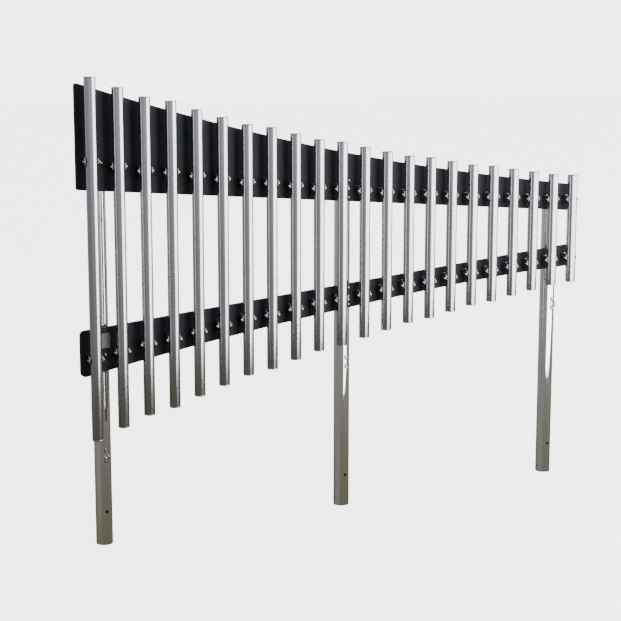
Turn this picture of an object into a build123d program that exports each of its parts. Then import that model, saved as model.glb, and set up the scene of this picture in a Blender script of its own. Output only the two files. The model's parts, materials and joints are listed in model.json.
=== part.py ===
from build123d import *
import math
import os

# Outdoor set of tuned tube chimes: a rank of capped tubes, pinned at their two still points in
# brackets on two black boards, which three steel posts carry. Millimetres, +Z up. The origin is the
# centre of the middle post's foot. The player stands on the -Y side, with the low notes on the left.

os.makedirs("parts", exist_ok=True)

# ---- chimes --------------------------------------------------------------------------------------
CHIME_COUNT = 22
CHIME_PITCH = 124.0            # from one chime's axis to the next
CHIME_OD = 50.8
CHIME_WALL = 3.2
LONGEST_IDEAL = 1582.0         # length of the lowest note by the thin bar law
BAR_CORRECTION = 2.1           # how much a stubby tube is cut shorter than that law
NODE_FRACTION = 0.2272         # still point, from an end, as a share of the length
MAJOR_SCALE = (0, 2, 4, 5, 7, 9, 11)   # semitones of the notes in one octave
OCTAVE = 12                    # semitones
CENTRE_HEIGHT = 1297.0         # the chimes' common mid height, above the posts' feet

CAP_RIM = 5.0                  # part of an end cap that shows beyond the tube
CAP_PLUG = 14.0                # part of an end cap inside the tube
CAP_EDGE = 1.6                 # rounding of a cap's outer edge
CAP_PLAY = 0.1                 # gap between plug and bore

# ---- fixing of a chime ---------------------------------------------------------------------------
PIN_D = 8.0
PIN_PLAY = 0.05                # radial gap between the pin and what it passes
GROMMET_D = 12.0               # sleeve in the chime's cross hole
GROMMET_FLANGE_D = 20.0
GROMMET_FLANGE = 2.6           # rubber between chime and bracket ear
GROMMET_LIP = 1.2              # sleeve that shows inside the chime
EAR_THICKNESS = 3.5
EAR_HEIGHT = 42.0
EAR_NOSE = 7.5                 # ear in front of the pin's axis
EAR_CORNER = 15.0
BRACKET_BACK = 4.0             # thickness of the bracket's back plate
BRACKET_SCREW_SPACING = 24.0   # between the two screws in a back plate, upright
BRACKET_SCREW_D = 6.0
BRACKET_SCREW_HEAD_D = 10.5
BRACKET_SCREW_COLLAR = 0.8     # straight part of the screw's head
BRACKET_SCREW_DOME = 2.5
BRACKET_SCREW_TAIL = 5.0       # screw behind the board
BRACKET_NUT_ACROSS = 10.0      # across the flats
BRACKET_NUT_HEIGHT = 4.5
DOME_NUT_D = 14.0
DOME_NUT_COLLAR = 3.5          # straight part of a dome nut
DOME_NUT_DOME = 6.0
PIN_IN_NUT = 5.0               # the pin's end inside its dome nut

# ---- boards --------------------------------------------------------------------------------------
BOARD_THICKNESS = 19.0
BOARD_SETBACK = 45.0           # board's front face behind the chimes' axes
BOARD_END = 52.0               # board beyond the outer chimes' axes
BOARD_EDGE = 2.0               # rounding of a board's front and back edges
UPPER_CORNER = 9.0
LOWER_CORNER = 22.0
UPPER_DROPS = (39.0, 37.0, 43.0, 45.0, 48.0)     # board's curved edge below the chimes' tops
LOWER_MARGINS = (77.0, 66.0, 57.0, 47.0, 50.0)   # board's curved edge below the lower still points
INNER_MARGIN_LEFT = 127.0      # straight edges, inside the still points of the first chime
INNER_MARGIN_RIGHT = 60.0      # and of the last one

# ---- posts ---------------------------------------------------------------------------------------
POST_OD = 76.1
POST_WALL = 3.0
POST_BELOW_BOARD_TOP = 26.0    # post's top under the board's curved edge
POST_CAP_RIM = 4.0
POST_CAP_PLUG = 16.0
POST_CAP_EDGE = 2.8            # rounding of a post cap's rim
SADDLE_CROWN = 5.0             # thinnest part of the saddle between board and post
SADDLE_WIDTH = 50.0
SADDLE_MARGIN = 14.0           # saddle above and below its outer bolts
POST_PLAY = 0.05               # gap between saddle and post
FOOT_HOLE_D = 14.0
FOOT_HOLE_LOW = 35.0           # cross hole along X, above the foot
FOOT_HOLE_HIGH = 155.0         # cross hole along Y, above the foot

POST_BOLT_D = 10.0
POST_BOLT_HEAD_D = 17.0
POST_BOLT_COLLAR = 1.0         # straight part of the bolt's head
POST_BOLT_DOME = 6.5
POST_BOLT_SPACING = 40.0       # at the middle post, which has three bolts in each board
POST_BOLT_PLAY = 0.1
POST_NUT_D = 18.0
POST_NUT_COLLAR = 5.0
POST_NUT_DOME = 8.0
POST_NUT_DEPTH = 8.0           # the bolt's end inside its dome nut

# ---- small fittings ------------------------------------------------------------------------------
PLATE_WIDTH = 70.0
PLATE_HEIGHT = 66.0
PLATE_THICKNESS = 1.5
PLATE_CORNER = 3.0
PLATE_ABOVE_NODE = 30.0        # plate's lower edge above the still point level
PLATE_FROM_POST = 12.0         # plate's centre to the left of the left post's axis
RIVET_SHANK_D = 3.0
RIVET_HEAD_D = 5.2
RIVET_COLLAR = 0.3
RIVET_DOME = 1.0
RIVET_INSET = 5.0

EYE_BELOW_CHIME = 112.0        # centre of a tether eye under the chimes' lower ends
EYE_SCREW_SPACING = 49.0
EYE_RISE = 24.0                # inside height of the eye's arch above its feet
EYE_ROD = 6.0
EYE_PAD_D = 17.0
EYE_PAD = 3.0
EYE_HALF_SPAN = 13.0           # half of the arch's width between the rod's centre lines
EYE_TOP_SHARE = 0.8            # the arch's top, as a share of its width
EYE_BEND_SHARE = 0.7           # its bends' radius, as a share of the half span
EYE_ROD_CLEAR = 0.5            # rod's end short of the post, inside the pad
EYE_STRAP_WIDTH = 9.0          # strip between pad and rod
EYE_SCREW_D = 5.0
EYE_SCREW_HEAD_D = 10.0
EYE_SCREW_COLLAR = 0.8
EYE_SCREW_DOME = 2.8
EYE_SCREW_TAIL = 4.0           # screw inside the post's bore

# ---- places worked out from those ----------------------------------------------------------------
CHIME_R = CHIME_OD / 2
POST_R = POST_OD / 2
BOARD_BACK_Y = -(POST_R + SADDLE_CROWN)
BOARD_FRONT_Y = BOARD_BACK_Y - BOARD_THICKNESS
CHIME_Y = BOARD_FRONT_Y - BOARD_SETBACK
FIRST_X = -CHIME_PITCH * (CHIME_COUNT - 1) / 2
LAST_X = -FIRST_X
EAR_IN = CHIME_R + GROMMET_FLANGE          # inner face of an ear, from the chime's axis
EAR_OUT = EAR_IN + EAR_THICKNESS
POST_X = {"left": FIRST_X + CHIME_PITCH / 2, "middle": 0.0, "right": LAST_X - CHIME_PITCH / 2}
BOLT_OFFSETS = {
    "left": (0.0,),
    "middle": (-POST_BOLT_SPACING, 0.0, POST_BOLT_SPACING),
    "right": (0.0,),
}


def tuned_length(semitones):
    """Length of a tube this many semitones above the lowest one."""
    ideal = LONGEST_IDEAL * 2 ** (-semitones / (2 * OCTAVE))
    return ideal * (1 - BAR_CORRECTION * (CHIME_OD / ideal) ** 2)


def chime_length(index):
    octave, degree = divmod(index, len(MAJOR_SCALE))
    return tuned_length(OCTAVE * octave + MAJOR_SCALE[degree])


def length_near(x):
    """Length that an evenly spaced scale would have at this place along the boards."""
    return tuned_length(OCTAVE / len(MAJOR_SCALE) * (x - FIRST_X) / CHIME_PITCH)


def chime_x(index):
    return FIRST_X + index * CHIME_PITCH


def node_offset(length):
    """Height of a tube's still points above and below its middle."""
    return length * (0.5 - NODE_FRACTION)


# Every chime's cross pins: (x, z), in the upper row and in the lower row.
UPPER_PINS = [(chime_x(i), CENTRE_HEIGHT + node_offset(chime_length(i))) for i in range(CHIME_COUNT)]
LOWER_PINS = [(x, 2 * CENTRE_HEIGHT - z) for x, z in UPPER_PINS]
EDGE_SPANS = len(UPPER_DROPS) - 1
STATIONS = [FIRST_X + (LAST_X - FIRST_X) * k / EDGE_SPANS for k in range(EDGE_SPANS + 1)]


def level(x, side):
    """Height of the line of still points: side is 1 for the upper row, -1 for the lower."""
    return CENTRE_HEIGHT + side * node_offset(length_near(x))


def post_bolt_places(side):
    """Places (x, z) of the bolts that hold a board to the posts."""
    return [(POST_X[p], level(POST_X[p], side) + dz) for p in POST_X for dz in BOLT_OFFSETS[p]]


def front_plane(y):
    """Drawing plane that faces the player, at this Y: its x is the world's X, its y is Z."""
    return Plane((0, y, 0), x_dir=(1, 0, 0), z_dir=(0, -1, 0))


def side_plane(x, y, z):
    """Drawing plane across X: its x is the world's Y, its y is Z, and it faces +X."""
    return Plane((x, y, z), x_dir=(0, 1, 0), z_dir=(1, 0, 0))


def save(piece, name):
    piece.label = name
    export_step(piece, f"parts/{name}.step")


# ---- chimes --------------------------------------------------------------------------------------
for index in range(CHIME_COUNT):
    tube_length = chime_length(index) - 2 * CAP_RIM
    with BuildPart() as chime:
        with BuildSketch(Plane((chime_x(index), CHIME_Y, CENTRE_HEIGHT - tube_length / 2))):
            Circle(CHIME_R)
            Circle(CHIME_R - CHIME_WALL, mode=Mode.SUBTRACT)
        extrude(amount=tube_length)
        for _, z in (UPPER_PINS[index], LOWER_PINS[index]):
            with BuildSketch(side_plane(chime_x(index), CHIME_Y, z)):
                Circle(GROMMET_D / 2)
            extrude(amount=CHIME_OD, both=True, mode=Mode.SUBTRACT)
    save(chime.part, f"chime_{index + 1:02d}")


def cap_profile():
    """Half section of an end cap: the rim on the tube's end, above z = 0, and the plug below it."""
    plug_r = CHIME_R - CHIME_WALL - CAP_PLAY
    with BuildSketch(Plane.XZ) as profile:
        with BuildLine():
            Polyline((0, CAP_RIM), (0, -CAP_PLUG), (plug_r, -CAP_PLUG), (plug_r, 0), (CHIME_R, 0),
                     (CHIME_R, CAP_RIM - CAP_EDGE))
            RadiusArc((CHIME_R, CAP_RIM - CAP_EDGE), (CHIME_R - CAP_EDGE, CAP_RIM), -CAP_EDGE)
            Line((CHIME_R - CAP_EDGE, CAP_RIM), (0, CAP_RIM))
        make_face()
    return profile.sketch


with BuildPart(mode=Mode.PRIVATE) as end_cap:
    add(cap_profile())
    revolve(axis=Axis.Z)

for name, side in (("top_caps", 1), ("bottom_caps", -1)):
    with BuildPart() as caps:
        for index in range(CHIME_COUNT):
            end_z = CENTRE_HEIGHT + side * (chime_length(index) / 2 - CAP_RIM)
            seat = Plane((chime_x(index), CHIME_Y, end_z), x_dir=(1, 0, 0), z_dir=(0, 0, side))
            with Locations(seat):
                add(end_cap.part)
    save(caps.part, name)


# ---- boards --------------------------------------------------------------------------------------
def board(side, curve, corner):
    """A board between its straight inner edge and the curve through the given (x, z) points."""
    left, right = FIRST_X - BOARD_END, LAST_X + BOARD_END
    slope = (inner_edge(LAST_X, side) - inner_edge(FIRST_X, side)) / (LAST_X - FIRST_X)
    inner_left = inner_edge(FIRST_X, side) - slope * BOARD_END
    inner_right = inner_edge(LAST_X, side) + slope * BOARD_END
    outer_left, outer_right = curve[0], curve[-1]
    with BuildPart() as plank:
        with BuildSketch(front_plane(BOARD_BACK_Y)) as outline:
            with BuildLine():
                Spline(*curve)
                Line(outer_right, (right, inner_right))
                Line((right, inner_right), (left, inner_left))
                Line((left, inner_left), outer_left)
            make_face()
            fillet(outline.vertices(), radius=corner)
        extrude(amount=BOARD_THICKNESS)
        rims = plank.faces().filter_by(Axis.Y)
        fillet(rims.edges(), radius=BOARD_EDGE)
        pins = UPPER_PINS if side > 0 else LOWER_PINS
        screws = [(x, z + s * BRACKET_SCREW_SPACING / 2) for x, z in pins for s in (-1, 1)]
        for places, diameter in (
            (screws, BRACKET_SCREW_D + 2 * PIN_PLAY),
            (post_bolt_places(side), POST_BOLT_D + 2 * POST_BOLT_PLAY),
        ):
            with BuildSketch(front_plane(BOARD_BACK_Y)):
                with Locations(*places):
                    Circle(diameter / 2)
            extrude(amount=BOARD_THICKNESS, mode=Mode.SUBTRACT)
    return plank.part


def inner_edge(x, side):
    """Height of a board's straight edge under or over the first or the last chime."""
    margin = INNER_MARGIN_LEFT if x < 0 else INNER_MARGIN_RIGHT
    return level(x, side) - side * margin


def ends_stretched(points):
    """The stations' points, with the outer two moved on to the board's ends."""
    (x0, z0), (x1, z1) = points[0], points[1]
    (xm, zm), (xn, zn) = points[-2], points[-1]
    first = (x0 - BOARD_END, z0 - (z1 - z0) / (x1 - x0) * BOARD_END)
    last = (xn + BOARD_END, zn + (zn - zm) / (xn - xm) * BOARD_END)
    return [first] + points[1:-1] + [last]


def upper_edge(x, drop):
    return CENTRE_HEIGHT + length_near(x) / 2 - drop


upper_curve = ends_stretched([(x, upper_edge(x, d)) for x, d in zip(STATIONS, UPPER_DROPS)])
lower_curve = ends_stretched([(x, level(x, -1) - m) for x, m in zip(STATIONS, LOWER_MARGINS)])
save(board(1, upper_curve, UPPER_CORNER), "upper_board")
save(board(-1, lower_curve, LOWER_CORNER), "lower_board")


# ---- posts and their caps ------------------------------------------------------------------------
POST_DROPS = {"left": UPPER_DROPS[0], "middle": UPPER_DROPS[2], "right": UPPER_DROPS[4]}

for post_name, x in POST_X.items():
    post_top = upper_edge(x, POST_DROPS[post_name]) - POST_BELOW_BOARD_TOP - POST_CAP_RIM
    with BuildPart() as post:
        with BuildSketch(Plane((x, 0, 0))):
            Circle(POST_R)
            Circle(POST_R - POST_WALL, mode=Mode.SUBTRACT)
        extrude(amount=post_top)
        with BuildSketch(side_plane(x, 0, FOOT_HOLE_LOW)):
            Circle(FOOT_HOLE_D / 2)
        extrude(amount=POST_OD, both=True, mode=Mode.SUBTRACT)
        with BuildSketch(front_plane(0)):
            with Locations((x, FOOT_HOLE_HIGH)):
                Circle(FOOT_HOLE_D / 2)
        extrude(amount=POST_OD, both=True, mode=Mode.SUBTRACT)
        bolts = [(bx, bz) for side in (1, -1) for bx, bz in post_bolt_places(side) if bx == x]
        with BuildSketch(front_plane(0)):
            with Locations(*bolts):
                Circle(POST_BOLT_D / 2 + POST_BOLT_PLAY)
        extrude(amount=POST_OD, both=True, mode=Mode.SUBTRACT)
        eye_z = CENTRE_HEIGHT - length_near(x) / 2 - EYE_BELOW_CHIME
        with BuildSketch(front_plane(0)):
            with Locations(*[(x, eye_z + s * EYE_SCREW_SPACING / 2) for s in (-1, 1)]):
                Circle(EYE_SCREW_D / 2)
        extrude(amount=POST_OD, mode=Mode.SUBTRACT)
    save(post.part, f"post_{post_name}")

    plug_r = POST_R - POST_WALL - CAP_PLAY
    with BuildPart() as post_cap:
        with BuildSketch(Plane((x, 0, post_top))):
            Circle(POST_R)
        extrude(amount=POST_CAP_RIM)
        fillet(post_cap.edges().group_by(Axis.Z)[-1], radius=POST_CAP_EDGE)
        with BuildSketch(Plane((x, 0, post_top))):
            Circle(plug_r)
        extrude(amount=-POST_CAP_PLUG)
    save(post_cap.part, f"post_cap_{post_name}")


# ---- saddles between the boards and the posts ----------------------------------------------------
for name, side in (("upper_saddles", 1), ("lower_saddles", -1)):
    with BuildPart() as saddles:
        for post_name, x in POST_X.items():
            half = max(BOLT_OFFSETS[post_name]) + SADDLE_MARGIN
            z = level(x, side)
            with BuildSketch(Plane((x, 0, z - half))):
                with BuildLine():
                    wing_y = -math.sqrt((POST_R + POST_PLAY) ** 2 - (SADDLE_WIDTH / 2) ** 2)
                    right_wing, left_wing = (SADDLE_WIDTH / 2, wing_y), (-SADDLE_WIDTH / 2, wing_y)
                    Line(left_wing, (-SADDLE_WIDTH / 2, BOARD_BACK_Y))
                    Line((-SADDLE_WIDTH / 2, BOARD_BACK_Y), (SADDLE_WIDTH / 2, BOARD_BACK_Y))
                    Line((SADDLE_WIDTH / 2, BOARD_BACK_Y), right_wing)
                    ThreePointArc(right_wing, (0, -POST_R - POST_PLAY), left_wing)
                make_face()
            extrude(amount=2 * half)
        with BuildSketch(front_plane(0)):
            with Locations(*post_bolt_places(side)):
                Circle(POST_BOLT_D / 2 + POST_BOLT_PLAY)
        extrude(amount=POST_OD, mode=Mode.SUBTRACT)
    save(saddles.part, name)


# ---- turned fasteners ----------------------------------------------------------------------------
def dome_on_stem(stem_r, stem_length, head_r, collar, dome):
    """Half section of a domed head above z = 0 with its stem below, or a dome nut for no stem."""
    ball_r = (head_r**2 + dome**2) / (2 * dome)
    rim_angle = math.asin(head_r / ball_r)
    half_way = collar + dome - ball_r + ball_r * math.cos(rim_angle / 2)
    with BuildSketch(Plane.XZ) as profile:
        with BuildLine():
            if stem_length > 0:
                Polyline((0, -stem_length), (stem_r, -stem_length), (stem_r, 0), (head_r, 0))
            else:
                Line((0, 0), (head_r, 0))
            Line((head_r, 0), (head_r, collar))
            ThreePointArc((head_r, collar), (ball_r * math.sin(rim_angle / 2), half_way),
                          (0, collar + dome))
            Line((0, collar + dome), (0, -stem_length))
        make_face()
    return profile.sketch


def turned(profile, hole_r=0.0, hole_depth=0.0):
    """The half section turned about Z, with a blind hole from its flat face."""
    with BuildPart(mode=Mode.PRIVATE) as piece:
        add(profile)
        revolve(axis=Axis.Z)
        if hole_r > 0:
            with BuildSketch(Plane.XY):
                Circle(hole_r)
            extrude(amount=hole_depth, mode=Mode.SUBTRACT)
    return piece.part


def group_of(piece, seats):
    """Copies of one piece, each on its seat plane."""
    with BuildPart() as group:
        with Locations(*seats):
            add(piece)
    return group.part


pin_end = EAR_OUT + PIN_IN_NUT
dome_nut = turned(dome_on_stem(0, 0, DOME_NUT_D / 2, DOME_NUT_COLLAR, DOME_NUT_DOME),
                  PIN_D / 2 + PIN_PLAY, PIN_IN_NUT)
post_bolt_length = BOARD_THICKNESS + SADDLE_CROWN + POST_OD + POST_NUT_DEPTH
post_bolt = turned(dome_on_stem(POST_BOLT_D / 2, post_bolt_length,
                                POST_BOLT_HEAD_D / 2, POST_BOLT_COLLAR, POST_BOLT_DOME))
post_nut = turned(dome_on_stem(0, 0, POST_NUT_D / 2, POST_NUT_COLLAR, POST_NUT_DOME),
                  POST_BOLT_D / 2 + POST_BOLT_PLAY, POST_NUT_DEPTH)
bracket_screw_length = BRACKET_BACK + BOARD_THICKNESS + BRACKET_SCREW_TAIL
bracket_screw = turned(dome_on_stem(BRACKET_SCREW_D / 2, bracket_screw_length,
                                    BRACKET_SCREW_HEAD_D / 2, BRACKET_SCREW_COLLAR,
                                    BRACKET_SCREW_DOME))


def washer_nut(across, bore, height):
    """Plain hexagon nut for a bracket screw, on the XY plane."""
    with BuildPart(mode=Mode.PRIVATE) as nut:
        with BuildSketch(Plane.XY):
            RegularPolygon(across / 2, 6, major_radius=False)
            Circle(bore / 2, mode=Mode.SUBTRACT)
        extrude(amount=height)
    return nut.part


bracket_nut = washer_nut(BRACKET_NUT_ACROSS, BRACKET_SCREW_D + 2 * PIN_PLAY, BRACKET_NUT_HEIGHT)

for row, side, pins in (("upper", 1, UPPER_PINS), ("lower", -1, LOWER_PINS)):
    # U brackets, one for each chime, folded from plate.
    with BuildPart() as brackets:
        for x, z in pins:
            with BuildSketch(Plane((x, 0, z - EAR_HEIGHT / 2))):
                with BuildLine():
                    Polyline((-EAR_OUT, CHIME_Y - EAR_NOSE), (-EAR_OUT, BOARD_FRONT_Y),
                             (EAR_OUT, BOARD_FRONT_Y), (EAR_OUT, CHIME_Y - EAR_NOSE),
                             (EAR_IN, CHIME_Y - EAR_NOSE), (EAR_IN, BOARD_FRONT_Y - BRACKET_BACK),
                             (-EAR_IN, BOARD_FRONT_Y - BRACKET_BACK), (-EAR_IN, CHIME_Y - EAR_NOSE),
                             close=True)
                make_face()
            extrude(amount=EAR_HEIGHT)
        noses = brackets.edges().filter_by(Axis.X).group_by(Axis.Y)[0]
        fillet(noses, radius=EAR_CORNER)
        with BuildSketch(front_plane(BOARD_FRONT_Y)):
            with Locations(*[(x, z + s * BRACKET_SCREW_SPACING / 2) for x, z in pins for s in (-1, 1)]):
                Circle(BRACKET_SCREW_D / 2 + PIN_PLAY)
        extrude(amount=BRACKET_BACK, mode=Mode.SUBTRACT)
        for x, z in pins:
            with BuildSketch(side_plane(x, CHIME_Y, z)):
                Circle(PIN_D / 2 + PIN_PLAY)
            extrude(amount=EAR_OUT, both=True, mode=Mode.SUBTRACT)
    save(brackets.part, f"{row}_brackets")

    screw_seats = [
        Plane((x, BOARD_FRONT_Y - BRACKET_BACK, z + s * BRACKET_SCREW_SPACING / 2),
              x_dir=(1, 0, 0), z_dir=(0, -1, 0))
        for x, z in pins for s in (-1, 1)
    ]
    save(group_of(bracket_screw, screw_seats), f"{row}_bracket_screws")
    nut_seats = [
        Plane((x, BOARD_BACK_Y, z + s * BRACKET_SCREW_SPACING / 2), x_dir=(1, 0, 0), z_dir=(0, 1, 0))
        for x, z in pins for s in (-1, 1)
    ]
    save(group_of(bracket_nut, nut_seats), f"{row}_bracket_nuts")

    # Cross pins, with a dome nut on each end.
    with BuildPart() as cross_pins:
        for x, z in pins:
            with BuildSketch(side_plane(x - pin_end, CHIME_Y, z)):
                Circle(PIN_D / 2)
            extrude(amount=2 * pin_end)
    save(cross_pins.part, f"{row}_cross_pins")
    dome_seats = [
        Plane((x + s * EAR_OUT, CHIME_Y, z), x_dir=(0, 1, 0), z_dir=(s, 0, 0))
        for x, z in pins for s in (-1, 1)
    ]
    save(group_of(dome_nut, dome_seats), f"{row}_dome_nuts")

    # Rubber grommets: a sleeve through the chime's wall and a flange against the ear.
    with BuildPart(mode=Mode.PRIVATE) as grommet:
        with BuildSketch(Plane.XY):
            Circle(GROMMET_FLANGE_D / 2)
        extrude(amount=GROMMET_FLANGE)
        with BuildSketch(Plane.XY):
            Circle(GROMMET_D / 2)
        extrude(amount=-(CHIME_WALL + GROMMET_LIP))
        with BuildSketch(Plane.XY.offset(-(CHIME_WALL + GROMMET_LIP))):
            Circle(PIN_D / 2 + PIN_PLAY)
        extrude(amount=CHIME_WALL + GROMMET_LIP + GROMMET_FLANGE, mode=Mode.SUBTRACT)
    grommet_seats = [
        Plane((x + s * CHIME_R, CHIME_Y, z), x_dir=(0, 1, 0), z_dir=(s, 0, 0))
        for x, z in pins for s in (-1, 1)
    ]
    save(group_of(grommet.part, grommet_seats), f"{row}_grommets")

    # Bolts through board, saddle and post.
    head_seats = [
        Plane((x, BOARD_FRONT_Y, z), x_dir=(1, 0, 0), z_dir=(0, -1, 0)) for x, z in post_bolt_places(side)
    ]
    save(group_of(post_bolt, head_seats), f"{row}_post_bolts")
    back_seats = [
        Plane((x, POST_R, z), x_dir=(1, 0, 0), z_dir=(0, 1, 0)) for x, z in post_bolt_places(side)
    ]
    save(group_of(post_nut, back_seats), f"{row}_post_nuts")


# ---- blank plate on the lower board --------------------------------------------------------------
plate_x = POST_X["left"] - PLATE_FROM_POST
plate_z = level(POST_X["left"], -1) + PLATE_ABOVE_NODE + PLATE_HEIGHT / 2
rivet_places = [
    (plate_x + sx * (PLATE_WIDTH / 2 - RIVET_INSET), plate_z + sz * (PLATE_HEIGHT / 2 - RIVET_INSET))
    for sx in (-1, 1) for sz in (-1, 1)
]
with BuildPart() as info_plate:
    with BuildSketch(front_plane(BOARD_FRONT_Y)):
        with Locations((plate_x, plate_z)):
            RectangleRounded(PLATE_WIDTH, PLATE_HEIGHT, PLATE_CORNER)
        with Locations(*rivet_places):
            Circle(RIVET_SHANK_D / 2, mode=Mode.SUBTRACT)
    extrude(amount=PLATE_THICKNESS)
save(info_plate.part, "info_plate")

rivet = turned(dome_on_stem(RIVET_SHANK_D / 2, PLATE_THICKNESS, RIVET_HEAD_D / 2,
                            RIVET_COLLAR, RIVET_DOME))
rivet_seats = [
    Plane((x, BOARD_FRONT_Y - PLATE_THICKNESS, z), x_dir=(1, 0, 0), z_dir=(0, -1, 0))
    for x, z in rivet_places
]
save(group_of(rivet, rivet_seats), "info_plate_rivets")


# ---- tether eyes on the posts --------------------------------------------------------------------
screw_seats = []
for post_name, x in POST_X.items():
    eye_z = CENTRE_HEIGHT - length_near(x) / 2 - EYE_BELOW_CHIME
    foot_y = -POST_R
    rod_top = -POST_R - EYE_PAD - EYE_RISE - EYE_ROD / 2
    half = EYE_SCREW_SPACING / 2
    foot_start = foot_y - EYE_ROD_CLEAR
    top_half = EYE_HALF_SPAN * EYE_TOP_SHARE
    with BuildPart() as eye:
        with BuildLine() as route:
            FilletPolyline(
                (x, foot_start, eye_z - EYE_HALF_SPAN),
                (x, rod_top, eye_z - top_half),
                (x, rod_top, eye_z + top_half),
                (x, foot_start, eye_z + EYE_HALF_SPAN),
                radius=EYE_HALF_SPAN * EYE_BEND_SHARE,
            )
        start = Plane(origin=route.line @ 0, z_dir=route.line % 0)
        with BuildSketch(start):
            Circle(EYE_ROD / 2)
        sweep(path=route.line)
        for s in (-1, 1):
            with BuildSketch(front_plane(foot_y)):
                with Locations((x, eye_z + s * half)):
                    Circle(EYE_PAD_D / 2)
                with Locations((x, eye_z + s * (half + EYE_HALF_SPAN) / 2)):
                    Rectangle(EYE_STRAP_WIDTH, half - EYE_HALF_SPAN + EYE_ROD)
            extrude(amount=EYE_PAD)
        with BuildSketch(front_plane(foot_y)):
            with Locations((x, eye_z - half), (x, eye_z + half)):
                Circle(EYE_SCREW_D / 2 + PIN_PLAY)
        extrude(amount=EYE_PAD, mode=Mode.SUBTRACT)
    save(eye.part, f"tether_eye_{post_name}")
    screw_seats += [
        Plane((x, foot_y - EYE_PAD, eye_z + s * half), x_dir=(1, 0, 0), z_dir=(0, -1, 0))
        for s in (-1, 1)
    ]

eye_screw_length = EYE_PAD + POST_WALL + EYE_SCREW_TAIL
eye_screw = turned(dome_on_stem(EYE_SCREW_D / 2 - PIN_PLAY, eye_screw_length,
                                EYE_SCREW_HEAD_D / 2, EYE_SCREW_COLLAR, EYE_SCREW_DOME))
save(group_of(eye_screw, screw_seats), "tether_eye_screws")
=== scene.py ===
# %% [markdown]
# # A rank of tube chimes on three posts
# The packed model is the frame of this lesson. It holds every part at its true place and size, in
# metres, and nothing here moves it. What Blender adds is the finish of each metal, the black board's
# pebbled skin, and finer shapes for the turned and folded pieces that catch the light.

# %% Load the packed model
import bpy
import bmesh
import json
import math
from collections import namedtuple
from mathutils import Matrix, Vector


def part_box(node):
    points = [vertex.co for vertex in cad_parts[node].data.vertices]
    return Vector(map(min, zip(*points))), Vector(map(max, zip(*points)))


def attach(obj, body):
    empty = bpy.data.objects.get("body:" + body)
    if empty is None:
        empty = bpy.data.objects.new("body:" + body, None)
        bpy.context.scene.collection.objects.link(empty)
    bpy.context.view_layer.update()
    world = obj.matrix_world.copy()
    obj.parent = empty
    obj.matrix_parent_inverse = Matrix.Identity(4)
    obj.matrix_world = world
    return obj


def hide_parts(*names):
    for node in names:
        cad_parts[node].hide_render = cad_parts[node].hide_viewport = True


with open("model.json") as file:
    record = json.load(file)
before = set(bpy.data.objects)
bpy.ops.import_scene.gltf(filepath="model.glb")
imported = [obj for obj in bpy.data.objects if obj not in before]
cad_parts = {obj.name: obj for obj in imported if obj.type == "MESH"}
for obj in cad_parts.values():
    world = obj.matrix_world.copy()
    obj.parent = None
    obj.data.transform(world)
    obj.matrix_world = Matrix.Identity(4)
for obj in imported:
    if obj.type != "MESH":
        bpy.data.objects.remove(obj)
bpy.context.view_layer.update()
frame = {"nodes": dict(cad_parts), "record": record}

nodes = frame["nodes"]

# %% [markdown]
# ## Shader maths as Python
# A material is a graph of nodes. It can be drawn by hand in the shader editor, or written node by
# node, but both are hard to read later. So one small class wraps a socket: adding or multiplying
# two wires adds the Math node that does it, and `node` makes any other kind, with its settings
# first and its sockets after.


# %% The wire class
class Wire:
    """One output socket, with the arithmetic that continues it."""

    def __init__(self, tree, socket=None):
        self.tree = tree
        self.socket = socket

    def node(self, kind, settings=None, inputs=None, out=0):
        """A new node of this kind, as the wire that leaves its output."""
        made = self.tree.nodes.new(kind)
        for name, value in (settings or {}).items():
            if name == "stops":
                fill_ramp(made.color_ramp, value)
            else:
                setattr(made, name, value)
        for key, value in (inputs or {}).items():
            if isinstance(value, Wire):
                self.tree.links.new(value.socket, made.inputs[key])
            else:
                made.inputs[key].default_value = value
        return Wire(self.tree, made.outputs[out] if made.outputs else None)

    def maths(self, operation, first, second):
        return self.node("ShaderNodeMath", {"operation": operation}, {0: first, 1: second})

    def __add__(self, other):
        return self.maths("ADD", self, other)

    def __radd__(self, other):
        return self.maths("ADD", other, self)

    def __sub__(self, other):
        return self.maths("SUBTRACT", self, other)

    def __rsub__(self, other):
        return self.maths("SUBTRACT", other, self)

    def __mul__(self, other):
        return self.maths("MULTIPLY", self, other)

    def __rmul__(self, other):
        return self.maths("MULTIPLY", other, self)


def fill_ramp(ramp, stops):
    """Gives a colour ramp these (position, colour) stops. A new stop starts half way along."""
    while len(ramp.elements) < len(stops):
        ramp.elements.new(0.5)
    for element, (position, colour) in zip(ramp.elements, stops):
        element.position = position
        element.color = colour


print("a wire has", ", ".join(name for name in vars(Wire) if not name.startswith("__")))

# %% [markdown]
# ## Patterns that the finishes share
# Grain could come from painted images, but then it would need unwrapping and would blur close up.
# Noise textures need neither. Object coordinates are metres here, because every part sits at the
# origin with its place in its mesh. Squeezing them along one axis before a noise texture turns
# round grains into long ones: that is how a drawn or brushed metal shows its direction.


# %% Coordinates, grain, colour mixing and bump
def places(tree, stretch=(1, 1, 1)):
    """The surface point in metres, each axis multiplied by its stretch."""
    start = Wire(tree).node("ShaderNodeTexCoord", out="Object")
    return stretched(start, stretch)


def stretched(where, stretch):
    return where.node("ShaderNodeVectorMath", {"operation": "MULTIPLY"}, {0: where, 1: stretch})


def grain(where, scale, detail=2.0, roughness=0.5):
    """Soft noise from 0 to 1, this many blotches to the metre."""
    return where.node("ShaderNodeTexNoise", None,
                      {"Vector": where, "Scale": scale, "Detail": detail, "Roughness": roughness})


def between(mask, low, high):
    """The mask's range from low to high stretched to 0 and 1."""
    return mask.node("ShaderNodeMapRange", None, {"Value": mask, "From Min": low, "From Max": high})


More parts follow.
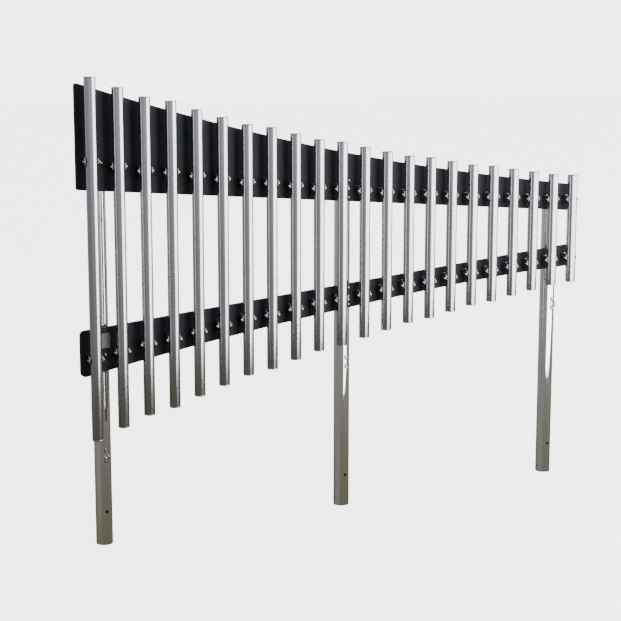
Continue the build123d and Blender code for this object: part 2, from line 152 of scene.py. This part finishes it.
def blend_colours(mask, first, second):
    """The first colour where the mask is 0, and the second where it is 1."""
    return mask.node("ShaderNodeMix", {"data_type": "RGBA"}, {0: mask, 6: first, 7: second}, out=2)


def relief(height, distance, strength=1.0):
    """A normal that tilts as if the surface rose by distance, in metres, where height is 1."""
    return height.node("ShaderNodeBump", None,
                       {"Height": height, "Distance": distance, "Strength": strength}, out="Normal")


def finish(name):
    """A new material with an empty tree, and its tree."""
    material = bpy.data.materials.new(name)
    material.use_nodes = True
    material.node_tree.nodes.clear()
    return material, material.node_tree


def surface(tree, **sockets):
    """The shader that every finish ends in. Names with a space are written with an underscore."""
    inputs = {key.replace("_", " "): value for key, value in sockets.items()}
    shader = Wire(tree).node("ShaderNodeBsdfPrincipled", None, inputs)
    shader.node("ShaderNodeOutputMaterial", None, {"Surface": shader})


FINISHES = {}
print("finishes so far:", len(FINISHES))

# %% [markdown]
# ## Satin tube
# The chimes are extruded aluminium with a satin anodised skin. Close up it has faint lines along
# the tube from the die, and slow changes in gloss where hands and weather have been. An anisotropic
# shader could stretch the highlight, but a metallic one with a little roughness and real lines
# already spreads each reflection into the soft bright bands that make a round tube read as round.

# %% Finish of the chimes
TUBE_COLOUR = (0.48, 0.465, 0.495, 1)
TUBE_WORN = (0.43, 0.42, 0.44, 1)
TUBE_ROUGHNESS = 0.17


def satin_tube():
    material, tree = finish("satin_tube")
    die_lines = grain(places(tree, (1, 1, 0.012)), scale=1500.0)
    weather = grain(places(tree, (1, 1, 0.3)), scale=9.0, detail=3.0)
    colour = blend_colours(between(weather, low=0.3, high=0.75), TUBE_COLOUR, TUBE_WORN)
    gloss = TUBE_ROUGHNESS + 0.02 * die_lines + 0.03 * weather
    surface(tree, Base_Color=colour, Metallic=1.0, Roughness=gloss,
            Normal=relief(die_lines, distance=0.000002))
    return material


FINISHES["satin_aluminium"] = satin_tube()
print("tube roughness from", TUBE_ROUGHNESS)

# %% [markdown]
# ## Turned cap
# The end caps are turned from the same metal and aren't drawn through a die, so they have no long
# lines. They are a little darker and duller, with finger smudges. Here the noise is stretched out
# the other way, along the cap's axis, which flattens its grains into tool marks round the rim.

# %% Finish of the end caps
CAP_COLOUR = (0.44, 0.43, 0.45, 1)
CAP_SMUDGED = (0.36, 0.35, 0.37, 1)
CAP_ROUGHNESS = 0.20


def turned_cap():
    material, tree = finish("turned_cap")
    rings = grain(places(tree, (1, 1, 3)), scale=1500.0)
    smudges = grain(places(tree), scale=40.0, detail=3.0)
    colour = blend_colours(smudges, CAP_COLOUR, CAP_SMUDGED)
    surface(tree, Base_Color=colour, Metallic=1.0, Roughness=CAP_ROUGHNESS + 0.10 * rings,
            Normal=relief(rings, distance=0.00001))
    return material


FINISHES["cap_aluminium"] = turned_cap()
print("cap roughness from", CAP_ROUGHNESS)

# %% [markdown]
# ## Pebbled board
# The boards are thick black polyethylene sheet. Its skin is rolled with a fine pebble so that
# scratches hide, which breaks a reflection into specks. The pebbles are far too small to model, so
# they are bump: smooth Voronoi cells with a fine noise over them. A large, faint noise is dust and
# fading, and a sparse one leaves pale flecks.

# %% Finish of the boards
BOARD_COLOUR = (0.0190, 0.0215, 0.0240, 1)
BOARD_DUST = (0.0240, 0.0262, 0.0280, 1)
BOARD_FLECK = (0.046, 0.046, 0.045, 1)
BOARD_ROUGHNESS = 0.40
PEBBLE_HEIGHT = 0.00012
PEBBLES_PER_METRE = 420.0


def pebbled_board():
    material, tree = finish("pebbled_board")
    cells = Wire(tree).node("ShaderNodeTexVoronoi", {"feature": "SMOOTH_F1"},
                            {"Vector": places(tree), "Scale": PEBBLES_PER_METRE, "Smoothness": 0.6})
    pebbles = between(cells, low=0.1, high=0.7)
    fine = grain(places(tree), scale=1300.0)
    clouds = grain(places(tree, (1, 1, 0.6)), scale=7.0, detail=5.0, roughness=0.6)
    dust = between(clouds, low=0.45, high=0.8)
    flecks = between(grain(places(tree), scale=620.0, detail=1.0), low=0.66, high=0.78)
    dark = blend_colours(dust, BOARD_COLOUR, BOARD_DUST)
    colour = blend_colours(0.4 * flecks, dark, BOARD_FLECK)
    gloss = BOARD_ROUGHNESS + 0.10 * fine + 0.06 * dust
    surface(tree, Base_Color=colour, Metallic=0.0, Roughness=gloss, Specular_IOR_Level=0.08,
            Normal=relief(0.7 * pebbles + 0.3 * fine, distance=PEBBLE_HEIGHT, strength=0.7))
    return material


FINISHES["black_board"] = pebbled_board()
print("a pebble of the board is about", round(1000 / PEBBLES_PER_METRE, 1), "mm across")

# %% [markdown]
# ## Mirror post
# The posts are stainless steel tube polished to a mirror, so nearly all of what one sees on them is
# their surroundings. A perfectly smooth metal looks like a hole in the picture. Faint streaks of
# the polishing wheel and a few finger smudges tell the eye that there is a surface.

# %% Finish of the posts
POST_COLOUR = (0.80, 0.81, 0.80, 1)
POST_SMUDGED = (0.70, 0.71, 0.69, 1)
POST_ROUGHNESS = 0.03


def mirror_post():
    material, tree = finish("mirror_post")
    streaks = grain(places(tree, (1, 1, 0.03)), scale=700.0, detail=3.0)
    marks = grain(places(tree), scale=16.0, detail=4.0, roughness=0.6)
    smudges = between(marks, low=0.5, high=0.85)
    colour = blend_colours(smudges, POST_COLOUR, POST_SMUDGED)
    gloss = POST_ROUGHNESS + 0.02 * streaks + 0.03 * smudges
    surface(tree, Base_Color=colour, Metallic=1.0, Roughness=gloss,
            Normal=relief(streaks, distance=0.0000008))
    return material


FINISHES["polished_post"] = mirror_post()
print("post roughness from", POST_ROUGHNESS)

# %% [markdown]
# ## Bright fittings
# Brackets, bolts and nuts are stainless steel too, with a quicker polish, so they are darker and
# cloudier than the posts. Short brush marks run along the folded ears, from front to back, which is
# why this noise is squeezed along Y.

# %% Finish of the fittings
STEEL_COLOUR = (0.31, 0.30, 0.31, 1)
STEEL_CLOUDED = (0.24, 0.235, 0.24, 1)
STEEL_ROUGHNESS = 0.07


def bright_steel():
    material, tree = finish("bright_steel")
    brushed = grain(places(tree, (1, 0.1, 1)), scale=1600.0, detail=3.0)
    cloud = grain(places(tree), scale=60.0, detail=3.0)
    colour = blend_colours(cloud, STEEL_COLOUR, STEEL_CLOUDED)
    gloss = STEEL_ROUGHNESS + 0.07 * brushed + 0.05 * cloud
    surface(tree, Base_Color=colour, Metallic=1.0, Roughness=gloss,
            Normal=relief(brushed, distance=0.000003))
    return material


FINISHES["stainless_fittings"] = bright_steel()
print("fitting roughness from", STEEL_ROUGHNESS)

# %% [markdown]
# ## Rubber and moulded plastic
# The collars are soft rubber. The posts' caps, and the saddles between board and post, are moulded
# plastic. Both are nearly black, so gloss tells them apart: rubber is dull, and plastic keeps a low
# sheen. The grain of the mould is a fine noise that drives colour, roughness and bump together.

# %% Finishes of the rubber and the plastic
MOULD_GRAIN_HEIGHT = 0.00004


def moulded(name, grains_per_metre, colours, roughness, specular):
    """A dark moulded skin that differs only in its grain, its two colours and its gloss."""
    material, tree = finish(name)
    skin = grain(places(tree), scale=grains_per_metre, detail=3.0)
    surface(tree, Base_Color=blend_colours(skin, *colours), Roughness=roughness + 0.2 * skin,
            Specular_IOR_Level=specular, Normal=relief(skin, distance=MOULD_GRAIN_HEIGHT))
    return material


RUBBER_COLOURS = ((0.010, 0.010, 0.010, 1), (0.022, 0.022, 0.021, 1))
PLASTIC_COLOURS = ((0.014, 0.014, 0.015, 1), (0.024, 0.024, 0.024, 1))
FINISHES["black_rubber"] = moulded("soft_rubber", 1800.0, RUBBER_COLOURS, roughness=0.62, specular=0.15)
FINISHES["black_plastic"] = moulded("moulded_plastic", 1100.0, PLASTIC_COLOURS, roughness=0.40,
                                    specular=0.2)
print("moulded grain", 1000 * MOULD_GRAIN_HEIGHT, "mm high")

# %% [markdown]
# ## Blank plate
# A small plate is riveted to the lower board, with nothing on it. It has a greenish grey lacquer
# over brushed metal, so it isn't metallic: the brush marks show only in its gloss and its bump.

# %% Finish of the plate
PLATE_COLOUR = (0.155, 0.180, 0.140, 1)
PLATE_CLOUDED = (0.125, 0.145, 0.115, 1)
PLATE_ROUGHNESS = 0.34


def blank_plate():
    material, tree = finish("blank_plate")
    brushed = grain(places(tree, (0.02, 1, 1)), scale=1800.0, detail=3.0)
    cloud = grain(places(tree), scale=22.0, detail=3.0)
    colour = blend_colours(cloud, PLATE_COLOUR, PLATE_CLOUDED)
    surface(tree, Base_Color=colour, Metallic=0.0, Specular_IOR_Level=0.2,
            Roughness=PLATE_ROUGHNESS + 0.12 * brushed, Normal=relief(brushed, distance=0.00001))
    return material


FINISHES["plate_metal"] = blank_plate()
print("finishes:", ", ".join(FINISHES))

# %% [markdown]
# ## Finishes on the CAD nodes
# The packed record says which material slot each node has. Reading it here, instead of listing
# nodes by hand, means that no node can be left grey.

# %% Every CAD node takes the finish of its slot
slot_of = {row["node"]: row["material_slot"] for row in frame["record"]["subparts"]}
for name, node in nodes.items():
    node.data.materials.clear()
    node.data.materials.append(FINISHES[slot_of[name]])
print(len(slot_of), "nodes have a finish")

# %% [markdown]
# ## Round pieces on a lathe
# A chime is a tube with softly broken edges, and a cap is a disc with a rounded rim. A Screw
# modifier could turn them, but it needs one object for each. Here one function spins a list of
# (radius, height) points into rings of a mesh, as often as it is asked to. Many segments keep the
# outline of a mirror-like tube free of facets.

# %% The lathe
TUBE_SEGMENTS = 96
SIXTH = math.pi / 3


def hexagon_reach(angle, flat):
    """How far a hexagon's edge is from its middle at this angle, flat being half its width."""
    off_flat = (angle + SIXTH / 2) % SIXTH - SIXTH / 2
    return flat / math.cos(off_flat)


def spin(mesh, profile, seat, segments=TUBE_SEGMENTS, closed=False):
    """Turns (radius, height) rows about the seat's Z axis, into a bmesh.

    A third number in a row is the distance to a hexagon's flats, which cut the circle there."""
    rings = []
    for radius, height, *flats in profile:
        ring = []
        for k in range(segments if radius > 0 else 1):
            angle = math.tau * k / segments
            reach = min([radius] + [hexagon_reach(angle, flat) for flat in flats])
            place = Vector((reach * math.cos(angle), reach * math.sin(angle), height))
            ring.append(mesh.verts.new(seat @ place))
        rings.append(ring)
    pairs = list(zip(rings, rings[1:])) + ([(rings[-1], rings[0])] if closed else [])
    for low, high in pairs:
        for k in range(segments):
            following = (k + 1) % segments
            corners = [low[k % len(low)], low[following % len(low)],
                       high[following % len(high)], high[k % len(high)]]
            mesh.faces.new(list(dict.fromkeys(corners)))


def seat_at(place, axis):
    """A seat at this point whose Z looks along the axis."""
    return Matrix.Translation(Vector(place)) @ Vector(axis).to_track_quat("Z", "Y").to_matrix().to_4x4()


def rounded(radius, height, edge, steps=5):
    """Points round an outer edge that ends level at this radius and height."""
    points = []
    for k in range(steps + 1):
        turn = math.pi / 2 * k / steps
        points.append((radius - edge + edge * math.cos(turn), height - edge + edge * math.sin(turn)))
    return points


def piece_from(mesh, name, slot, replaced, sharp_degrees=None):
    """A finished object from a bmesh: smooth, riding on the frame, in place of its CAD nodes."""
    bmesh.ops.recalc_face_normals(mesh, faces=mesh.faces)
    data = bpy.data.meshes.new(name)
    mesh.to_mesh(data)
    mesh.free()
    data.polygons.foreach_set("use_smooth", [True] * len(data.polygons))
    if sharp_degrees is not None:
        data.set_sharp_from_angle(angle=math.radians(sharp_degrees))
    piece = bpy.data.objects.new(name, data)
    bpy.context.scene.collection.objects.link(piece)
    data.materials.append(FINISHES[slot])
    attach(piece, "root")
    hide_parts(*replaced)


print("a tube has", TUBE_SEGMENTS, "sides")

# %% [markdown]
# ## The chimes
# Each chime keeps its CAD node's place and length, read from the node's box. Its profile is a closed
# loop: up the outside, round a small broken edge, down the bore and back. The CAD tube has the same
# size but a coarser outline, which would show as flats in the reflections.

# %% The chimes
CHIME_WALL = 0.0032
TUBE_EDGE = 0.0007
Chime = namedtuple("Chime", "x y bottom top radius")
chime_names = sorted(name for name in nodes if name.startswith("chime_"))
chimes = []
for name in chime_names:
    low, high = (Vector(corner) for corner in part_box(name))
    outer = (high.x - low.x) / 2
    height = high.z - low.z
    middle = (low + high) / 2
    upper_half = [(outer, 0.0), (outer, height / 4)] + rounded(outer, height / 2, TUBE_EDGE)
    upper_half.append((outer - CHIME_WALL, height / 2))
    lower_half = [(radius, -z) for radius, z in reversed(upper_half[1:])]
    tube = bmesh.new()
    spin(tube, lower_half + upper_half, seat_at(middle, (0, 0, 1)), closed=True)
    piece_from(tube, name.replace("chime", "tube"), "satin_aluminium", [name])
    chimes.append(Chime(middle.x, middle.y, low.z, high.z, outer))
print(len(chimes), "chimes, longest", round(chimes[0].top - chimes[0].bottom, 4), "m")

# %% [markdown]
# ## End caps
# A cap sits on each end of a tube. A fine groove shows where it meets the tube, its rim is rounded
# for children's hands, and its face keeps the shallow steps of the lathe tool. Bump could draw the
# groove, but it wouldn't break the outline as a turned groove does.

# %% The end caps
CAP_RIM = 0.005
CAP_EDGE = 0.0018
CAP_SEGMENTS = 72
GROOVE = 0.0005
GROOVE_WIDTH = 0.0004
GROOVE_SLOPE_TOP = 0.0009
RIM_FOOT = 0.0011
PLUG_DEPTH = 0.002
CENTRE_DROP = 0.0008
FACE_STEPS = ((0.72, 0.0), (0.70, 0.0003), (0.45, 0.0003), (0.43, 0.0), (0.12, 0.0), (0.08, CENTRE_DROP))


def cap_profile(radius):
    """From the plug inside the tube, past the groove and the rim, to the middle of the face."""
    plug = radius - 3 * GROOVE
    neck = radius - GROOVE
    inside = [(0, -PLUG_DEPTH), (plug, -PLUG_DEPTH), (plug, 0.0)]
    groove = [(neck, 0.0), (neck, GROOVE_WIDTH), (radius, GROOVE_SLOPE_TOP), (radius, RIM_FOOT)]
    face = [(radius * share, CAP_RIM - drop) for share, drop in FACE_STEPS]
    return inside + groove + rounded(radius, CAP_RIM, CAP_EDGE) + face + [(0, CAP_RIM - CENTRE_DROP)]


for end, outward in (("top", 1.0), ("bottom", -1.0)):
    caps = bmesh.new()
    for chime in chimes:
        seat = seat_at((chime.x, chime.y, getattr(chime, end)), (0, 0, outward))
        spin(caps, cap_profile(chime.radius), seat, CAP_SEGMENTS)
    piece_from(caps, f"turned_{end}_caps", "cap_aluminium", [f"{end}_caps"])
print("caps:", 2 * len(chimes))

# %% [markdown]
# ## Where the fittings sit
# Every bracket, nut and collar is centred on a cross pin, so the pins' places are all that is
# needed. They could be worked out again from the chimes' lengths, but the packed pins are the
# truth: each vertex of their node belongs to the nearest chime, and the pin is at the middle of
# those heights.


# %% The pins' places
def pin_places(row):
    """The middle of each of the row's cross pins, from the vertices near each chime."""
    heights = {}
    for vertex in nodes[row + "_cross_pins"].data.vertices:
        nearest = min(chimes, key=lambda chime: abs(chime.x - vertex.co.x))
        heights.setdefault(nearest, []).append(vertex.co.z)
    return [(chime.x, chime.y, (min(z) + max(z)) / 2) for chime, z in sorted(heights.items())]


pins = {row: pin_places(row) for row in ("upper", "lower")}


def piece_for_each_row(make_one, name, slot, replaced, sharp_degrees):
    """One piece for each row of pins, with this shape at every pin."""
    for row, row_pins in pins.items():
        mesh = bmesh.new()
        for place in row_pins:
            make_one(mesh, place)
        piece_from(mesh, f"{row}_{name}", slot, [f"{row}_{replaced}"], sharp_degrees)


print("pins:", [len(row_pins) for row_pins in pins.values()])

# %% [markdown]
# ## Brackets
# Each chime hangs in two U brackets that are folded from a strip of steel. A folded strip has a
# round bend, not a sharp corner, and tumbled edges that catch thin lines of light. A bevelled box
# would miss both. So the bracket is a flat rounded strip swept round its own centre line, and the
# strip grows narrower towards its ends, which rounds the ears' noses.

# %% Sizes of the folded strip
BRACKET_HEIGHT = 0.042
STRIP = 0.0035
STRIP_EDGE = 0.0016
BEND_R = 0.005
BEND_STEPS = 6
NOSE_R = 0.015
NOSE_STEPS = (0, 0.0003, 0.0008, 0.0015, 0.0026, 0.004, 0.006, 0.0085, 0.0115, 0.015, 0.02)
NOSE_THINNING = 0.8
LARGEST_EDGE_SHARE = 0.9
bracket_low, bracket_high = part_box("upper_brackets")
board_front_y = bracket_high[1]
nose_y = bracket_low[1]
ear_face_x = bracket_high[0] - max(place[0] for place in pins["upper"])
ear_x = ear_face_x - STRIP / 2
print("a bracket is", round(2000 * ear_face_x, 1), "mm across its ears")


# %% The folded strip
def strip_line():
    """The centre line of half a bracket as (x, y, direction), from an ear's nose to the middle."""
    back_y = board_front_y - STRIP / 2
    line = [(ear_x, nose_y + step, 0.0) for step in NOSE_STEPS]
    line.append((ear_x, back_y - BEND_R, 0.0))
    for k in range(1, BEND_STEPS + 1):
        turn = math.pi / 2 * k / BEND_STEPS
        line.append((ear_x - BEND_R + BEND_R * math.cos(turn),
                     back_y - BEND_R + BEND_R * math.sin(turn), turn))
    line.append((0.0, back_y, math.pi / 2))
    return line


def strip_ring(mesh, seat, x, y, turn, half_height, half_thickness):
    """One rounded cross-section of the strip, square to its direction."""
    across = Vector((math.cos(turn), math.sin(turn), 0))
    edge = min(STRIP_EDGE, half_thickness * LARGEST_EDGE_SHARE)
    ring = []
    for sign_t, sign_z, first in ((1, 1, 0), (-1, 1, 90), (-1, -1, 180), (1, -1, 270)):
        for step in (0, 45, 90):
            angle = math.radians(first + step)
            t = sign_t * (half_thickness - edge) + edge * math.cos(angle)
            z = sign_z * (half_height - edge) + edge * math.sin(angle)
            ring.append(mesh.verts.new(seat @ (Vector((x, y, 0)) + across * t + Vector((0, 0, z)))))
    return ring


def bracket(mesh, place):
    """A whole bracket: half the centre line, its mirror image, and a section at each point."""
    seat = Matrix.Translation((place[0], 0, place[2]))
    half_line = strip_line()
    line = half_line + [(-x, y, math.pi - turn) for x, y, turn in reversed(half_line[:-1])]
    rings = []
    for x, y, turn in line:
        from_nose = y - nose_y
        short_of_straight = max(0.0, NOSE_R - from_nose)
        drop = NOSE_R - math.sqrt(NOSE_R ** 2 - short_of_straight ** 2)
        thin = STRIP / 2 - max(0.0, STRIP_EDGE - from_nose) * NOSE_THINNING
        rings.append(strip_ring(mesh, seat, x, y, turn, BRACKET_HEIGHT / 2 - drop, thin))
    for low, high in zip(rings, rings[1:]):
        for k in range(len(low)):
            following = (k + 1) % len(low)
            mesh.faces.new((low[k], low[following], high[following], high[k]))
    mesh.faces.new(rings[0])
    mesh.faces.new(list(reversed(rings[-1])))


piece_for_each_row(bracket, "bracket_set", "stainless_fittings", "brackets", sharp_degrees=50)
print("brackets:", sum(len(row_pins) for row_pins in pins.values()))

# %% [markdown]
# ## Cap nuts
# A cap nut is a hexagon with a dome pressed on it, and its lower face has a thin washer. It could
# be a hexagon joined to half a sphere, but the lathe does both at once: wherever a ring is wider
# than the flats, it is cut back to them, so the chamfer that a real nut has at its six corners
# comes by itself.

# %% Cap nuts
NUT_FLATS = 0.0065
NUT_CORNERS = 0.0075
NUT_SEGMENTS = 36
CHAMFER_IN = 0.0005
CHAMFER_UP = 0.0004
HEX_LOW = 0.0013
HEX_HIGH = 0.0042
NECK_R = 0.0066
WASHER_R = 0.0084
WASHER_TOP = 0.0012
WASHER_EDGE = 0.0003
WASHER_TOP_EDGE = 0.0004
SHOULDER = (0.0061, 0.0045)
DOME_R = 0.0056
DOME_FOOT = 0.0047
DOME_RISE = 0.0048
DOME_STEPS = 7


def nut_profile():
    """From the middle of the washer's face, up the hexagon, to the top of the dome."""
    washer = [(0, 0), (WASHER_R - WASHER_EDGE, 0), (WASHER_R, WASHER_EDGE),
              (WASHER_R, WASHER_TOP - WASHER_EDGE), (WASHER_R - WASHER_TOP_EDGE, WASHER_TOP)]
    hexagon = [(NUT_CORNERS - CHAMFER_IN, HEX_LOW, NUT_FLATS),
               (NUT_CORNERS, HEX_LOW + CHAMFER_UP, NUT_FLATS),
               (NUT_CORNERS, HEX_HIGH - CHAMFER_UP, NUT_FLATS),
               (NUT_CORNERS - CHAMFER_IN, HEX_HIGH, NUT_FLATS)]
    dome = [(DOME_R, DOME_FOOT)]
    for k in range(1, DOME_STEPS):
        turn = math.pi / 2 * k / DOME_STEPS
        dome.append((DOME_R * math.cos(turn), DOME_FOOT + DOME_RISE * math.sin(turn)))
    dome.append((0, DOME_FOOT + DOME_RISE))
    return washer + [(NECK_R, WASHER_TOP)] + hexagon + [SHOULDER] + dome


def pair_of_nuts(mesh, place):
    x, y, z = place
    for side in (-1, 1):
        spin(mesh, nut_profile(), seat_at((x + side * ear_face_x, y, z), (side, 0, 0)), NUT_SEGMENTS)


piece_for_each_row(pair_of_nuts, "cap_nuts", "stainless_fittings", "dome_nuts", sharp_degrees=28)
print("cap nut, across its flats", round(2000 * NUT_FLATS, 1), "mm")

# %% [markdown]
# ## Rubber collars
# A soft collar fills the gap between the tube and each ear, and keeps the two metals apart. It
# bulges a little where it is squeezed, and a thin sleeve goes on through the tube's wall. A torus
# would look alike from afar, but it couldn't lie flat against the ear.

# %% Rubber collars
COLLAR_BORE = 0.0041
COLLAR_FACE_R = 0.0085
COLLAR_SEGMENTS = 32
COLLAR_BULGE = ((0.0096, 0.15), (0.0100, 0.4), (0.0100, 0.6), (0.0096, 0.85))
COLLAR_SINK = 0.0005
SLEEVE_R = 0.0060
SLEEVE_TAPER = 0.0001
SLEEVE_DEPTH = 0.004
tube_r = chimes[0].radius
gap = ear_face_x - STRIP - tube_r
COLLAR_PROFILE = (
    [(COLLAR_BORE, -SLEEVE_DEPTH), (SLEEVE_R - SLEEVE_TAPER, -SLEEVE_DEPTH)]
    + [(SLEEVE_R, -COLLAR_SINK), (COLLAR_FACE_R, -COLLAR_SINK)]
    + [(radius, gap * share) for radius, share in COLLAR_BULGE]
    + [(COLLAR_FACE_R, gap), (COLLAR_BORE, gap)])


def pair_of_collars(mesh, place):
    x, y, z = place
    for side in (-1, 1):
        seat = seat_at((x + side * tube_r, y, z), (side, 0, 0))
        spin(mesh, COLLAR_PROFILE, seat, COLLAR_SEGMENTS, closed=True)


piece_for_each_row(pair_of_collars, "rubber_collars", "black_rubber", "grommets", sharp_degrees=60)
print("rubber collars fill", round(1000 * gap, 2), "mm between tube and bracket")

# %% [markdown]
# ## Camera
# The camera stands to the left of the player and a little above the chimes. A long lens from far
# away keeps the posts nearly parallel, where a short one close by would splay them.

# %% Camera
CAMERA_PLACE = (-3.680, -6.231, 2.187)
CAMERA_DOWN = 9.61
CAMERA_TURN = 29.38
LENS = 88.4
SENSOR = 36.0
FARTHEST_SEEN = 500.0
camera = bpy.data.objects.new("camera", bpy.data.cameras.new("camera"))
camera.location = CAMERA_PLACE
camera.rotation_euler = (math.radians(90 - CAMERA_DOWN), 0, math.radians(-CAMERA_TURN))
camera.data.lens = LENS
camera.data.sensor_width = SENSOR
camera.data.clip_end = FARTHEST_SEEN
bpy.context.scene.collection.objects.link(camera)
bpy.context.scene.camera = camera
print("camera", round(Vector(CAMERA_PLACE).length, 2), "m from the middle post's foot")

# %% [markdown]
# ## Light
# A round polished tube shows only what is around it, so the light is what shapes it. Several small
# lamps would draw several thin lines on each tube. One very wide soft panel, in front and to the
# right, makes the single white band instead.


# %% The panel
def soft_light(name, centre, aim, size, radiance):
    """A rectangular light of this radiance that faces a point, out of the camera's sight."""
    lamp = bpy.data.lights.new(name, "AREA")
    lamp.shape = "RECTANGLE"
    lamp.size, lamp.size_y = size
    lamp.energy = radiance * math.pi * size[0] * size[1]
    holder = bpy.data.objects.new(name, lamp)
    holder.location = centre
    holder.rotation_euler = (Vector(aim) - Vector(centre)).to_track_quat("-Z", "Y").to_euler()
    holder.visible_camera = False
    bpy.context.scene.collection.objects.link(holder)


PANEL_LEFT, PANEL_RIGHT = -0.05, 24.0
PANEL_LOW, PANEL_HIGH = -0.08, 6.0
PANEL_Y = -2.85
PANEL_RADIANCE = 7.0
panel_centre = ((PANEL_LEFT + PANEL_RIGHT) / 2, PANEL_Y, (PANEL_LOW + PANEL_HIGH) / 2)
panel_size = (PANEL_RIGHT - PANEL_LEFT, PANEL_HIGH - PANEL_LOW)
soft_light("front_panel", panel_centre, (panel_centre[0], 0, panel_centre[2]), panel_size, PANEL_RADIANCE)
print("panel", [round(side, 2) for side in panel_size], "m")

# %% [markdown]
# ## Surroundings
# The world gives the metals the rest of what they mirror: a pale sky above, grass and bare earth
# below. A photographed sky would do this too, but two colour ramps by height are enough, one for
# what lies in front and one for what lies to the left. The camera itself sees plain white.

# %% World
WHITE = 4.6
FRONT_BY_HEIGHT = [
    (0.00, (0.072, 0.080, 0.048, 1)), (0.340, (0.128, 0.142, 0.088, 1)),
    (0.365, (0.178, 0.180, 0.135, 1)), (0.390, (0.270, 0.262, 0.240, 1)),
    (0.430, (0.440, 0.430, 0.440, 1)), (0.460, (0.640, 0.620, 0.680, 1)),
    (0.500, (0.720, 0.700, 0.800, 1)), (1.000, (0.900, 0.920, 1.100, 1))]
LEFT_BY_HEIGHT = [
    (0.00, (0.060, 0.075, 0.040, 1)), (0.335, (0.125, 0.145, 0.080, 1)),
    (0.360, (0.260, 0.240, 0.220, 1)), (0.430, (0.330, 0.300, 0.310, 1)),
    (0.500, (0.460, 0.420, 0.460, 1)), (1.000, (0.800, 0.800, 0.950, 1))]
BARE_EARTH = (0.19, 0.155, 0.125, 1)
EARTH_SHARE = 0.6
world = bpy.data.worlds.new("surroundings")
bpy.context.scene.world = world
world.use_nodes = True
world.node_tree.nodes.clear()
sky = Wire(world.node_tree)
direction = sky.node("ShaderNodeTexCoord", out="Generated")
upward = sky.node("ShaderNodeSeparateXYZ", None, {"Vector": direction}, out="Z")
height_share = between(upward, low=-1.0, high=1.0)
front = sky.node("ShaderNodeValToRGB", {"stops": FRONT_BY_HEIGHT}, {"Fac": height_share})
left = sky.node("ShaderNodeValToRGB", {"stops": LEFT_BY_HEIGHT}, {"Fac": height_share})
sideways = sky.node("ShaderNodeSeparateXYZ", None, {"Vector": direction}, out="X")
colours = blend_colours(between(sideways, low=-0.55, high=-0.95), front, left)
tufts = grain(stretched(direction, (1, 1, 0.1)), scale=6.0, detail=3.0, roughness=0.6)
earthy = blend_colours(between(tufts, low=0.46, high=0.60), colours, BARE_EARTH)
below = 1 - between(height_share, low=0.38, high=0.42)
colours = blend_colours(EARTH_SHARE * below, colours, earthy)
seen = sky.node("ShaderNodeLightPath", out="Is Camera Ray")
shown = blend_colours(seen, colours, (WHITE, WHITE, WHITE, 1))
backdrop = sky.node("ShaderNodeBackground", None, {"Color": shown, "Strength": 1.0})
backdrop.node("ShaderNodeOutputWorld", None, {"Surface": backdrop})
print("the world has", len(world.node_tree.nodes), "nodes")

# %% [markdown]
# ## Floor
# A pale sheet runs far out on every side. It glows nearly as brightly as the backdrop, so that only
# a faint line parts the two. It stays out of the reflections, because the real posts stand in grass
# and mirror that.

# %% Floor
FLOOR_COLOUR = (0.34, 0.34, 0.34, 1)
FLOOR_PATCH = (0.30, 0.30, 0.30, 1)
FLOOR_GLOW = 3.9
FLOOR_HALF = 60.0


def pale_floor():
    material, tree = finish("pale_floor")
    patches = grain(places(tree), scale=1.5, detail=4.0)
    surface(tree, Base_Color=blend_colours(patches, FLOOR_COLOUR, FLOOR_PATCH), Roughness=0.8,
            Emission_Color=(1, 1, 1, 1), Emission_Strength=FLOOR_GLOW)
    return material


floor_mesh = bpy.data.meshes.new("floor")
corners = [(-FLOOR_HALF, -FLOOR_HALF, 0), (FLOOR_HALF, -FLOOR_HALF, 0),
           (FLOOR_HALF, FLOOR_HALF, 0), (-FLOOR_HALF, FLOOR_HALF, 0)]
floor_mesh.from_pydata(corners, [], [(0, 1, 2, 3)])
floor_mesh.materials.append(pale_floor())
floor = bpy.data.objects.new("floor", floor_mesh)
floor.visible_glossy = False
floor.visible_diffuse = False
bpy.context.scene.collection.objects.link(floor)
print("floor", 2 * FLOOR_HALF, "m wide")

# %% [markdown]
# ## Sizes, and the end
# Finer shapes mustn't change the object's size.
